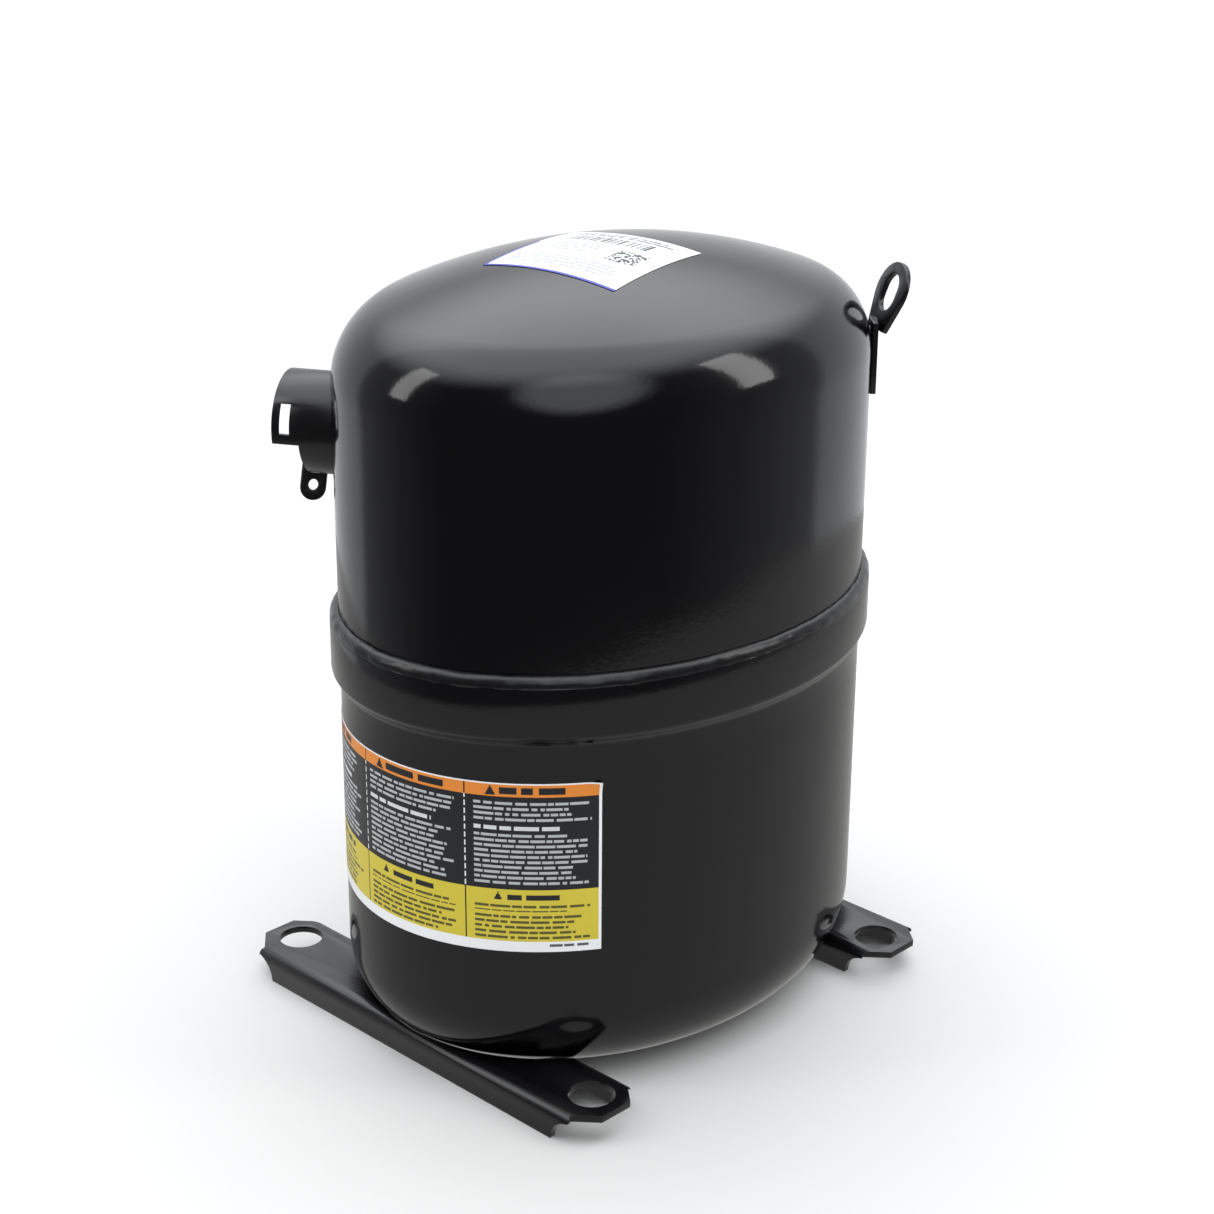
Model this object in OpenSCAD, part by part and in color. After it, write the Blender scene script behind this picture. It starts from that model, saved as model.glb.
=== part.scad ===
// Welded hermetic compressor with two cylinders: an oval drawn steel can on two foot rails,
// with a vertical motor and pump inside. Lengths in millimetres, +Z up. The origin is the
// centre of the four mounting holes, on the underside of the foot rails' plates.

/* [Shell] */
// Half of the can's width, outside
half_width = 100; // [96:1:106]
// Half of the can's length, outside
half_length = 129; // [126:1:136]
// Thickness of the drawn steel
shell_wall = 4; // [3:0.5:4.5]
// Height of the girth weld
seam_z = 180; // [174:1:186]
// Height at which the upper shell's straight wall ends
shoulder_z = 282; // [280:1:290]
// Radius of the upper shell's corner
shoulder_r = 34; // [28:1:38]
// Radius of the upper shell's crown
crown_r = 314; // [290:2:400]
// Lowest point of the lower shell
belly_z = -6; // [-7:0.5:-4]
// Radius of the lower shell's corner
belly_r = 34; // [28:1:38]
// How far the can's centre lies from the mounting pattern's centre
can_shift = 5; // [0:1:6]

/* [Feet] */
// Distance between the mounting holes, both ways
hole_pitch = 190.5; // [188:0.5:194]
// Diameter of the mounting holes
foot_hole_d = 20; // [18:0.5:21]
// Thickness of the foot rails
rail_t = 3; // [2.5:0.5:3]
// Height of the rails over the floor
rail_h = 13.5; // [12:0.5:16]
// Outside radius of the rails' bends
rail_bend_r = 5; // [4:0.5:6]

/* [Fittings] */
// Direction in which the terminal fence points
fence_azimuth = 210; // [200:1:220]
// Height of the terminal fence's axis
fence_z = 252.5; // [240:0.5:256]
// Outside diameter of the terminal fence
fence_d = 44.7; // [43:0.1:52]
// Direction in which the lifting lug faces
lug_azimuth = 44; // [40:1:60]
// Outside diameter of the suction stub
suction_d = 22.2; // [19:0.1:28.6]
// Outside diameter of the discharge stub
discharge_d = 12.7; // [9.5:0.1:15.9]

/* [Pump] */
// Radius of the crank throws
throw = 10; // [8:0.5:10]
// Radius of the pistons
piston_r = 23; // [22.5:0.5:23]
// Radius of the eccentrics that carry the rods
eccentric_r = 22; // [22:0.5:22.5]
// Distance between a rod's two eyes
rod_length = 62; // [62:0.5:63]
// Height of the lower cylinder
lower_bore_z = 50; // [49:0.5:51]
// Distance between the two cylinders
bore_pitch = 52; // [51:0.5:53]
// Radial clearance of the running fits
running_fit = 0.05; // [0.02:0.01:0.08]

/* [Motor] */
// Outside radius of the stator
stator_r = 82; // [78:0.5:84]
// Outside radius of the rotor
rotor_r = 41; // [38:0.5:42]
// Air gap between the rotor and the stator
air_gap = 0.5; // [0.4:0.1:1]
// Height of the lamination stack
stack_h = 90; // [70:1:95]
// Height at which the stack begins
stack_z = 142; // [141:0.5:144]
// Number of stator slots
slots = 24; // [18:1:30]

/* [Hidden] */
$fn = 48;
eps = 0.01;
steel = [0.10, 0.10, 0.11];
bare = [0.62, 0.63, 0.65];
iron = [0.36, 0.36, 0.37];
copper = [0.72, 0.42, 0.22];
alloy = [0.75, 0.76, 0.78];
shell_facets = 72;
lip_h = 19;                       // how far the lower shell's lip covers the upper shell
lip_gap = 0.2;                    // room between the lip and the upper shell
floor_z = rail_t - rail_h;
rail_in = 18;                     // from the hole's centre to the rail's inner skirt
rail_out = 20.8;                  // from the hole's centre to the rail's outer skirt
rail_half = 110.3;                // from the middle of the rail to its tip
skirt_half = 91.5;                // from the middle of the rail to its skirts' lower corner
crank_y = can_shift - 20;         // the shaft stands off the can's centre to make room for the head
bore_z = [lower_bore_z, lower_bore_z + bore_pitch];
bore_side = [1, -1];              // the lower throw is at the top of its stroke, the upper one at the bottom
bore_r = piston_r + running_fit;
main_r = 13;                      // main journal
tail_r = 11;                      // lower journal
chamber_r = 39.5;                 // inside of the crank chamber
chamber_wall = 8;
case_z = [24, 128];               // lowest and highest faces of the cylinder block
small_to_crown = 28;              // from the small end's centre to the inside of the piston crown
crown_t = 5;
tdc_y = crank_y + throw + rod_length + small_to_crown + crown_t;
plate_y = tdc_y + 0.5;            // face of the cylinder block
plate_t = 5;
head_t = 18;
data_label_size = [66, 64];
caution_z = [59.5, 136.5];        // lower and upper edges of the caution label
caution_arc = [-123, -46.6];      // where it begins and ends, seen from the can's axis
stack_top = stack_z + stack_h;
end_turn_h = 24;
insulation = 3.05;                // how far the slot liners stand out of the stack
stator_bolt_ring = stator_r - 8;
stator_bolt_angles = [45:90:315];
rotor_ring_h = 9;
pin_places = [for (i = [0:2]) 7.5 * [cos(120 * i), sin(120 * i)]];
spring_places = [for (x = [-42, 42], y = [-38, 42]) [x, y]];
spring_z = [1, 24];               // feet and tops of the springs
head_bolt_z = [case_z[0] + 7, (case_z[0] + case_z[1]) / 2, case_z[1] - 7];
bearing_bolt_angles = [20, 160, 200, 340];
bearing_bolt_ring = chamber_r + chamber_wall / 2;
muffler = [54, 31, 42];           // the muffler's place, from the shaft's axis
loop_r = 4;                       // outside of the discharge loop
suction_place = [150, 222];       // where the stubs stand: direction and height
discharge_place = [112, 132];
process_place = [132, 132];
process_d = 6.4;
cup_r = 17.5;                     // outside of the terminal cup
fence_reach = 27.4;               // from the wall to the fence's mouth
fence_cut = [-4.6, 15.5];         // below the first and beyond the second, the fence is cut away

// ---- places ----
module at_can() translate([can_shift, can_shift, 0]) children();
module at_shaft() translate([can_shift, crank_y, 0]) children();

// point of the can's oval whose outward direction is az
function wall_turn(az) = atan2(half_length * sin(az), half_width * cos(az));
function wall_point(az) = let (t = wall_turn(az))
  [can_shift + half_width * cos(t), can_shift + half_length * sin(t)];

// puts +X along the outward direction az, at the can's wall
module on_wall(az, z) translate([wall_point(az)[0], wall_point(az)[1], z]) rotate(az) children();

// ---- shapes used by more than one part ----
module tube(r, r_in, h) difference() {
  cylinder(r = r, h = h);
  translate([0, 0, -1]) cylinder(r = r_in, h = h + 2);
}

module hex_screw(across, head_h, d, length) {
  cylinder(r = across / sqrt(3), h = head_h, $fn = 6);
  translate([0, 0, -length]) cylinder(d = d, h = length + eps);
}

// an oval revolve: the profile's radii are true along the can's length
module oval_revolve(half_w, half_l)
  resize([2 * half_w, 2 * half_l, 0]) rotate_extrude($fn = shell_facets) children();

// round hole for a fitting welded into the can's wall
module wall_hole(az, z, r) on_wall(az, z) rotate([0, 90, 0]) translate([0, 0, -25])
  cylinder(r = r + 0.06, h = 40);

// ---- can ----
module upper_outline() offset(r = shoulder_r, $fn = 32) offset(delta = -shoulder_r) intersection() {
  crown_top = shoulder_z + crown_r - sqrt(pow(crown_r - shoulder_r, 2) - pow(half_length - shoulder_r, 2));
  translate([-half_length, 0]) square([2 * half_length, crown_top]);
  translate([0, crown_top - crown_r]) circle(crown_r, $fn = 72);
}

module upper_shell() color(steel) difference() {
  at_can() oval_revolve(half_width, half_length) intersection() {
    difference() {
      upper_outline();
      offset(delta = -shell_wall) upper_outline();
    }
    translate([0, seam_z - lip_h + 4]) square([half_length + 1, 300]);
  }
  wall_hole(suction_place[0], suction_place[1], suction_d / 2);
  wall_hole(fence_azimuth, fence_z, cup_r);
}

module lower_outline() {
  offset(r = belly_r, $fn = 40) offset(delta = -belly_r)
    translate([-half_length, belly_z]) square([2 * half_length, 400]);
}

module lip_outline() {
  lip_r = half_length + lip_gap + shell_wall;
  polygon([[0, seam_z - lip_h - 5], [half_length, seam_z - lip_h - 5], [half_length + 1.4, seam_z - lip_h - 2.4],
    [lip_r - 1, seam_z - lip_h - 0.6], [lip_r, seam_z - lip_h + 2], [lip_r, seam_z], [0, seam_z]]);
}

module lower_section() difference() {
  union() {
    intersection() {
      lower_outline();
      translate([0, belly_z - 1]) square([half_length + 1, seam_z - belly_z - 2]);
    }
    lip_outline();
  }
  intersection() {
    offset(delta = -shell_wall) lower_outline();
    translate([-1, belly_z]) square([half_length + 2, 400]);
  }
  translate([0, seam_z - lip_h + 3.8]) square([half_length + lip_gap, lip_h]);
  translate([-2 * half_length, belly_z - 1]) square([2 * half_length, 400]);
}

module lower_shell() color(steel) difference() {
  at_can() oval_revolve(half_width * (1 + (lip_gap + shell_wall) / half_length),
    half_length + lip_gap + shell_wall) lower_section();
  wall_hole(discharge_place[0], discharge_place[1], discharge_d / 2);
  wall_hole(process_place[0], process_place[1], process_d / 2);
}

module girth_weld() color(steel) at_can()
  oval_revolve(half_width * (1 + 3.6 / half_length), half_length + 3.6) intersection() {
    translate([half_length + 0.4, seam_z + 0.6]) circle(3.2, $fn = 14);
    translate([half_length + 0.05, seam_z + 0.02]) square([8, 8]);
  }

// ---- foot rails: an inverted channel with a flat, chamfered tongue at each end ----
module channel_outline(grow) {
  r = rail_bend_r + grow;
  top = rail_t + grow;
  for (s = [[-rail_out - grow, 1], [rail_in + grow, -1]])
    translate([s[0] + s[1] * r, top - r]) circle(r);
  translate([-rail_out - grow, floor_z - 1]) square([rail_in + rail_out + 2 * grow, top - r - floor_z + 1]);
  translate([-rail_out - grow + r, floor_z]) square([rail_in + rail_out + 2 * grow - 2 * r, top - floor_z]);
}

module rail_plan() {
  chamfer = [10, 8.5];
  tongue = [-17.6, 16.1];         // the tongue's two edges, from the hole's centre
  difference() {
    union() {
      translate([-101, -rail_out]) square([202, rail_in + rail_out]);
      translate([-rail_half, tongue[0]]) square([2 * rail_half, tongue[1] - tongue[0]]);
    }
    for (sx = [-1, 1], e = [[tongue[0], 1], [tongue[1], -1]])
      polygon([[sx * (rail_half - chamfer[0]), e[0] - e[1]], [sx * (rail_half + 1), e[0] - e[1]],
        [sx * (rail_half + 1), e[0] + e[1] * (chamfer[1] + 0.85)], [sx * (rail_half - chamfer[0]), e[0]]]);
  }
}

// side: -1 for the front rail, 1 for the rear one
module foot_rail(side) {
  scoop = 10.5;                   // radius of the skirts' curved ends
  difference() {
    translate([0, side * hole_pitch / 2, 0]) scale([1, -side, 1]) difference() {
      intersection() {
        rotate([90, 0, 90]) translate([0, 0, -rail_half]) linear_extrude(2 * rail_half) difference() {
          intersection() {
            channel_outline(0);
            translate([-40, floor_z]) square([80, 40]);
          }
          channel_outline(-rail_t);
        }
        translate([0, 0, floor_z - 1]) linear_extrude(40) rail_plan();
      }
      for (s = [-1, 1]) {
        translate([s * (skirt_half + scoop), 30, floor_z]) rotate([90, 0, 0]) cylinder(r = scoop, h = 60);
        translate([s > 0 ? skirt_half + scoop : -150, -30, floor_z - 1])
          cube([150 - skirt_half - scoop, 60, 1 - floor_z - eps]);
        translate([s * hole_pitch / 2, 0, -20]) cylinder(d = foot_hole_d, h = 40);
      }
    }
    at_can() translate([0, side * 39, 0]) rail_seat();
  }
}

// room for the rounded bottom of the can
module rail_seat() rotate_extrude() translate([half_length - belly_r - 39, belly_z - 0.5])
  polygon([[-56, 0], [6.1, 0], [17.5, 4.2], [26.8, 12], [26.8, 20], [-56, 20]]);

module front_foot_rail() color(steel) foot_rail(-1);
module rear_foot_rail() color(steel) foot_rail(1);

// ---- lug, fence, terminal ----
module lifting_lug() color(steel) on_wall(lug_azimuth, 0) {
  t = 2.6;
  half_w = 7;                     // half of the strap's width
  foot_z = 261;
  bend_z = foot_z + 28;
  lean = 21;
  twist = 18;
  translate([0.1, -half_w, foot_z]) cube([t, 2 * half_w, bend_z - foot_z + 4]);
  translate([1.5, 0, bend_z]) rotate([0, lean, twist]) rotate([90, 0, 90]) linear_extrude(t) difference() {
    polygon([[-8, 0], [8, 0], for (a = [-15:15:195]) [13 * cos(a), 17.6 + 13 * sin(a)]]);
    polygon([for (a = [0:15:180]) [6.5 * cos(a), 19 + 6.5 * sin(a)],
      for (a = [180:15:360]) [6.5 * cos(a), 15 + 6.5 * sin(a)]]);
  }
}

// axis of the fence, pointing out of its mouth along +Z
module at_fence() on_wall(fence_azimuth, fence_z) rotate([0, 90, 0]) rotate(180) children();

module terminal_fence() color(steel) at_fence() difference() {
  translate([0, 0, -2]) cylinder(d = fence_d, h = fence_reach + 2);
  translate([0, 0, -3]) cylinder(d = fence_d - 4, h = fence_reach + 4);
  translate([-40, -40, fence_cut[1]]) cube([40 + fence_cut[0], 80, 40]);
  for (s = [-1, 1]) translate([-0.2, s * 22 - 7, fence_reach - 8]) cube([12.6, 14, 5.1]);
  translate([0, 0, -132]) rotate([0, 90, 0]) cylinder(r = 132.3, h = 100, center = true);
}

// the strap goes on from the fence's cut edge, on the side away from the labels
module ground_strap() color(steel) at_fence() {
  t = 2;
  length = 36.6;
  half_w = (fence_reach - fence_cut[1]) / 2 - 0.03;
  translate([fence_cut[0] - 0.45, fence_d / 2 - 1.5, fence_cut[1] + half_w + 0.05]) rotate(203) difference() {
    union() {
      translate([0, -t / 2, -half_w]) cube([length - half_w, t, 2 * half_w]);
      translate([length - half_w, t / 2, 0]) rotate([90, 0, 0]) cylinder(r = half_w, h = t);
    }
    translate([length - 7, t, 0]) rotate([90, 0, 0]) cylinder(r = 2.4, h = 2 * t);
  }
}

module terminal_cup() color(bare) at_fence() difference() {
  translate([0, 0, -6]) cylinder(r = cup_r, h = 9);
  translate([0, 0, -7]) cylinder(r = 15, h = 7);
  for (p = pin_places) translate([p[0], p[1], -8]) cylinder(r = 4, h = 20);
}

module terminal_glass() color([0.16, 0.3, 0.25]) at_fence() for (p = pin_places)
  translate([p[0], p[1], 0]) tube(4, 1.6, 3);

module terminal_pins() color(alloy) at_fence() for (p = pin_places)
  translate([p[0], p[1], -12]) cylinder(r = 1.6, h = 31);

// ---- stubs, on the side away from the labels ----
module stub(az, z, d, wall, reach) on_wall(az, z) rotate([0, 90, 0]) difference() {
  stop = 4;                       // the line's end seats here, at this distance from the wall
  translate([0, 0, -shell_wall - 3]) cylinder(d = d, h = reach + shell_wall + 3);
  translate([0, 0, -shell_wall - 4]) cylinder(d = d - 2 * wall - 1, h = reach + shell_wall + 5);
  translate([0, 0, stop]) cylinder(d = d - 2 * wall, h = reach);
}

module suction_stub() color(copper) stub(suction_place[0], suction_place[1], suction_d, 1.5, 42);
module discharge_stub() color(copper) stub(discharge_place[0], discharge_place[1], discharge_d, 1.2, 36);
module process_tube() color(copper) stub(process_place[0], process_place[1], process_d, 1, 48);

// ---- labels: thin sheets that follow the can ----
module data_label() color("white") intersection() {
  at_can() oval_revolve(half_width + 0.35, half_length + 0.35) intersection() {
    difference() {
      offset(delta = 0.35) upper_outline();
      offset(delta = 0.04) upper_outline();
    }
    square([2 * half_length, 500]);
  }
  translate([8.5, -8, shoulder_z + shoulder_r]) rotate(9)
    translate([-data_label_size[0] / 2, -data_label_size[1] / 2, 0])
      cube([data_label_size[0], data_label_size[1], 50]);
}

module caution_label() color("gold") intersection() {
  at_can() oval_revolve(half_width + 0.4, half_length + 0.4) difference() {
    translate([0, caution_z[0]]) square([half_length + 0.4, caution_z[1] - caution_z[0]]);
    square([half_length + 0.05, 300]);
  }
  at_can() linear_extrude(300) polygon([[0, 0],
    for (a = [caution_arc[0], -90, caution_arc[1]]) 220 * [cos(a), sin(a)]]);
}

// ---- springs ----
module spring_cups() color(bare) at_shaft() for (p = spring_places) translate([p[0], p[1], 0]) {
  difference() {
    translate([0, 0, belly_z + shell_wall + 0.02]) cylinder(r = 13, h = 8.4);
    translate([0, 0, spring_z[0]]) cylinder(r = 11.6, h = 10);
  }
}

function coil_point(r, wire, turns, h, i, n) = [r * cos(360 * turns * i / n), r * sin(360 * turns * i / n),
  wire + (h - 2 * wire) * i / n];

module coil_spring(r, wire, turns, h) {
  sides = 6;
  n = 10 * turns;
  rings = [for (i = [0:n]) let (c = coil_point(r, wire, turns, h, i, n), a = 360 * turns * i / n)
    for (j = [0:sides - 1]) let (b = 360 * j / sides)
      c + wire * [cos(b) * cos(a), cos(b) * sin(a), sin(b)]];
  polyhedron(rings, concat(
    [for (i = [0:n - 1], j = [0:sides - 1]) let (k = (j + 1) % sides)
      [i * sides + j, (i + 1) * sides + j, (i + 1) * sides + k, i * sides + k]],
    [[for (j = [0:sides - 1]) j]], [[for (j = [sides - 1:-1:0]) n * sides + j]]));
}

module suspension_springs() color(bare) at_shaft() for (p = spring_places)
  translate([p[0], p[1], spring_z[0]]) coil_spring(9, 1.2, 5, spring_z[1] - spring_z[0]);

// ---- cylinder block ----
module bore_axis(i) translate([0, 0, bore_z[i]]) rotate([-90, 0, 0]) children();

module cylinder_block() color(iron) at_shaft() {
  deck = [case_z[1] - 12, case_z[1]];
  face = plate_y - crank_y;
  windows = [225, 315];           // directions of the openings in the crank chamber
  body_h = deck[1] - case_z[0] - 1;
  difference() {
    union() {
      translate([0, 0, case_z[0]]) cylinder(r = chamber_r + chamber_wall, h = body_h);
      translate([-34, 0, case_z[0]]) cube([68, face, body_h]);
      translate([0, 0, deck[0]]) cylinder(r = stator_r, h = stack_z - deck[0] - 0.02);
      for (p = spring_places) translate([0, 0, spring_z[1]]) {
        translate(p) cylinder(r = 12, h = 9);
        if (p[1] < 0) rotate(atan2(p[1], p[0])) translate([chamber_r + 2, -7, 0])
          cube([norm(p) - chamber_r - 2, 14, 9]);
      }
    }
    translate([0, 0, case_z[0] - 1]) cylinder(r = chamber_r, h = deck[0] - case_z[0] + 1);
    for (i = [0, 1]) bore_axis(i) translate([0, 0, chamber_r - 12]) cylinder(r = bore_r, h = face);
    for (z = bore_z, a = windows) translate([0, 0, z]) rotate(a) rotate([0, 90, 0]) cylinder(r = 13, h = 60);
    translate([0, 0, deck[0] - 1]) cylinder(r = main_r + running_fit, h = 60);
    translate([0, 0, deck[1]]) difference() {
      cylinder(r = stator_r - 13, h = 60);
      translate([0, 0, -1]) cylinder(r = 24, h = 5);
    }
    for (a = stator_bolt_angles) rotate(a) translate([stator_bolt_ring, 0, deck[1] - 8]) cylinder(r = 2.6, h = 60);
    for (a = bearing_bolt_angles) rotate(a) translate([bearing_bolt_ring, 0, 0]) cylinder(r = 2.6, h = 38);
  }
}

module lower_bearing_plate() color(iron) at_shaft() difference() {
  union() {
    translate([0, 0, case_z[0] - 8]) cylinder(r = chamber_r + chamber_wall, h = 7.98);
    translate([0, 0, case_z[0] - 16]) cylinder(r = 18, h = 10);
  }
  translate([0, 0, -20]) cylinder(r = tail_r + running_fit, h = 80);
  for (a = bearing_bolt_angles) rotate(a) translate([bearing_bolt_ring, 0, 0]) cylinder(r = 2.6, h = 60);
  for (p = spring_places) translate(p) cylinder(r = 14, h = 60);
}

module lower_bearing_bolts() color(bare) at_shaft() for (a = bearing_bolt_angles)
  rotate(a) translate([bearing_bolt_ring, 0, case_z[0] - 8.02]) rotate([180, 0, 0]) hex_screw(8, 3.5, 5, 20);

// ---- motor ----
module lamination() difference() {
  circle(stator_r);
  circle(rotor_r + air_gap);
  for (i = [0:slots - 1]) rotate(360 * i / slots) {
    translate([rotor_r + 3, -2.6]) square([20, 5.2]);
    translate([rotor_r + 23, 0]) circle(2.6);
  }
  for (a = stator_bolt_angles) rotate(a) translate([stator_bolt_ring, 0]) circle(2.6);
}

module stator_core() color(bare) at_shaft() translate([0, 0, stack_z]) linear_extrude(stack_h) lamination();

module slot_liners() color([0.85, 0.87, 0.8]) at_shaft() translate([0, 0, stack_z - 3])
  linear_extrude(stack_h + 6) for (i = [0:slots - 1]) rotate(360 * i / slots)
    translate([rotor_r + 3.1, 0]) difference() {
      translate([0, -2.5]) square([19.8, 5]);
      translate([0.4, -2.1]) square([19, 4.2]);
    }

module end_turn() rotate_extrude() translate([rotor_r + 13.5, end_turn_h / 2]) union() {
  square([19, end_turn_h - 10], center = true);
  translate([0, -(end_turn_h - 10) / 2]) square([9, 10], center = true);
  translate([0, (end_turn_h - 10) / 2]) square([9, 10], center = true);
  for (x = [-1, 1], y = [-1, 1]) translate([x * 4.5, y * (end_turn_h / 2 - 5)]) circle(5);
}

module stator_windings() color(copper) at_shaft() {
  joint = 0.5;                    // how far the bars reach into the end turns
  foot = case_z[1] + 0.45;
  translate([0, 0, stack_top + insulation]) end_turn();
  intersection() {
    translate([0, 0, foot]) end_turn();
    cylinder(r = 100, h = stack_z - insulation);
  }
  translate([0, 0, stack_z - insulation - joint]) linear_extrude(stack_h + 2 * (insulation + joint))
    for (i = [0:slots - 1]) rotate(360 * i / slots) translate([rotor_r + 3.55, -2.05]) square([18.9, 4.1]);
}

module stator_bolts() color(bare) at_shaft() for (a = stator_bolt_angles)
  rotate(a) translate([stator_bolt_ring, 0, stack_top + 0.02]) hex_screw(9, 5, 5, stack_h + 18);

module motor_cap() color([0.12, 0.12, 0.13]) at_shaft() translate([0, 0, stack_top + 0.02]) {
  r = stator_r - 14;
  h = 36;
  wall = 2;
  difference() {
    union() {
      cylinder(r = r, h = h);
      translate([0, 0, h]) cylinder(r1 = r, r2 = 40, h = 10);
    }
    translate([0, 0, -1]) cylinder(r = r - wall, h = h + 1);
    translate([0, 0, h]) cylinder(r1 = r - wall, r2 = 40 - wall, h = 10 - wall);
    translate([0, 0, h]) cylinder(r = 16, h = 20);
  }
}

module overload_protector() color([0.15, 0.15, 0.16]) at_shaft()
  rotate(205) translate([stator_r - 4, 0, stack_top + 0.02]) {
    translate([-8, -12, 0]) cube([8, 24, 24]);
    translate([-1, 0, 14]) rotate([0, 90, 0]) cylinder(r = 7, h = 5);
  }

// ---- valve gear: plates stacked on the cylinder block's face ----
module valve_outline() difference() {
  translate([-33, case_z[0] + 1]) square([66, case_z[1] - case_z[0] - 2]);
  for (x = [-28, 28], z = head_bolt_z) translate([x, z]) circle(3.2);
}

module on_face(offset_y, t) translate([0, plate_y - crank_y + offset_y + t, 0]) rotate([90, 0, 0])
  linear_extrude(t) children();

module head_gasket() color([0.3, 0.35, 0.3]) at_shaft() on_face(0.02, 0.46) difference() {
  valve_outline();
  for (z = bore_z) translate([0, z]) circle(bore_r + 0.5);
}

module reed(length, eye) {
  translate([-2.5, 0]) square([5, length]);
  translate([0, length]) circle(eye);
  translate([-5, -4]) square([10, 6]);
}

module suction_reeds() color(bare) at_shaft() for (z = bore_z) on_face(0.1, 0.35)
  translate([-9, z - 9]) rotate(-20) reed(16, 5);

module valve_plate() color(bare) at_shaft() on_face(0.5, plate_t) difference() {
  valve_outline();
  for (z = bore_z) translate([0, z]) {
    translate([-4, 7]) circle(3.6);
    translate([8, -6]) circle(4);
  }
}

module discharge_reeds() color(bare) at_shaft() for (z = bore_z) on_face(0.52 + plate_t, 0.4)
  translate([8, z - 6]) rotate(28) translate([0, -11]) reed(11, 5);

module reed_stops() color(iron) at_shaft() for (z = bore_z) on_face(0.94 + plate_t, 1.6)
  translate([8, z - 6]) rotate(28) translate([0, -11]) reed(11, 5.4);

module cylinder_head() color(iron) at_shaft() difference() {
  seat = plate_y - crank_y + plate_t;
  on_face(0.52 + plate_t, head_t) valve_outline();
  for (x = [-13, 13], z = bore_z) translate([x - 11, seat - 1, z - 22]) cube([22, head_t - 3, 44]);
  translate([13, seat, (bore_z[0] + bore_z[1]) / 2]) rotate([-90, 0, 0]) cylinder(r = 6.4, h = head_t + 2);
}

module head_bolts() color(bare) at_shaft() for (x = [-28, 28], z = head_bolt_z)
  translate([x, plate_y - crank_y + plate_t + head_t + 0.54, z]) rotate([-90, 0, 0]) hex_screw(8, 3.5, 6, 20);

module discharge_muffler() color(bare) at_shaft() translate(muffler) difference() {
  union() {
    cylinder(r = 13, h = 40);
    translate([0, 0, 40]) cylinder(r1 = 13, r2 = 8, h = 6);
    translate([0, 0, -6]) cylinder(r1 = 8, r2 = 13, h = 6);
  }
  translate([0, 0, -4]) cylinder(r = 6, h = 5);
  cylinder(r = 11.6, h = 40);
  translate([0, 0, 39]) cylinder(r = loop_r + 0.05, h = 20);
}

// a quarter bend in the plane of +X and +Z: it begins at the origin towards +Z and ends towards +X
module pipe_bend(r, bend) translate([bend, 0, 0]) rotate([90, 0, 180]) rotate_extrude(angle = 90)
  translate([bend, 0]) circle(r);

// the loop leaves the muffler upwards, passes over the cylinder head and ends at the discharge stub
module loop_path(r, bend) {
  rise = 17;
  along = 40;
  across = muffler[0] + 27.3 - 2 * bend;
  last = 29.6;
  cylinder(r = r, h = rise);
  translate([0, 0, rise]) rotate(90) pipe_bend(r, bend);
  translate([0, bend, rise + bend]) rotate([-90, 0, 0]) {
    cylinder(r = r, h = along);
    translate([0, 0, along]) rotate(-90) pipe_bend(r, bend);
  }
  translate([0, 2 * bend + along, rise + 2 * bend]) rotate(180) {
    pipe_bend(r, bend);
    translate([bend, 0, bend]) rotate([0, 90, 0]) {
      cylinder(r = r, h = across);
      translate([0, 0, across]) rotate(-90) pipe_bend(r, bend);
    }
    translate([2 * bend + across, -bend, bend]) rotate([90, 0, 0]) cylinder(r = r, h = last);
  }
}

module discharge_loop() color(copper) at_shaft() translate([muffler[0], muffler[1], muffler[2] + 46 - 6])
  loop_path(loop_r, 11);

// ---- shaft and rotor ----
module crankshaft() color(bare) at_shaft() difference() {
  union() {
    translate([0, 0, 3]) cylinder(r = tail_r, h = lower_bore_z - 3);
    translate([0, 0, lower_bore_z]) cylinder(r = 11.9, h = bore_pitch + 9);
    translate([0, 0, bore_z[1] + 9]) cylinder(r = main_r, h = stack_top + rotor_ring_h - 1 - bore_z[1]);
    for (i = [0, 1]) translate([0, bore_side[i] * throw, bore_z[i] - 9]) cylinder(r = eccentric_r, h = 18);
  }
  translate([0, 0, 0]) cylinder(r = 3, h = bore_z[1] + 30);
  for (i = [0, 1]) translate([0, 0, bore_z[i]]) rotate([-90 * bore_side[i], 0, 0]) cylinder(r = 1.6, h = 40);
}

module rotor_core() color([0.45, 0.45, 0.47]) at_shaft() translate([0, 0, stack_z]) difference() {
  cylinder(r = rotor_r, h = stack_h);
  translate([0, 0, -1]) cylinder(r = main_r, h = stack_h + 2);
  for (a = [0:60:300]) rotate(a) translate([23, 0, -1]) cylinder(r = 3, h = stack_h + 2);
}

module rotor_end_rings() color(alloy) at_shaft() {
  for (z = [stack_z - rotor_ring_h, stack_top]) translate([0, 0, z]) tube(rotor_r - 1.5, 27, rotor_ring_h);
  for (a = [0:30:330]) rotate(a) translate([30, -1, stack_top + rotor_ring_h - eps]) cube([8, 2, 7]);
}

module counterweight() color(iron) at_shaft() translate([0, 0, stack_top + rotor_ring_h + 7.02]) difference() {
  rotate(200) rotate_extrude(angle = 140) translate([22, 0]) square([16, 6]);
  for (a = [240, 300]) rotate(a) translate([30, 0, -1]) cylinder(r = 2.2, h = 10);
}

module oil_pickup() color(bare) at_shaft() translate([0, 0, -0.5]) difference() {
  union() {
    cylinder(r1 = 4, r2 = tail_r - 1, h = 3.48);
    translate([0, 0, 3.48]) cylinder(r = 2.96, h = 10);
  }
  translate([0, 0, -1]) cylinder(r = 1.8, h = 20);
}

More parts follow.
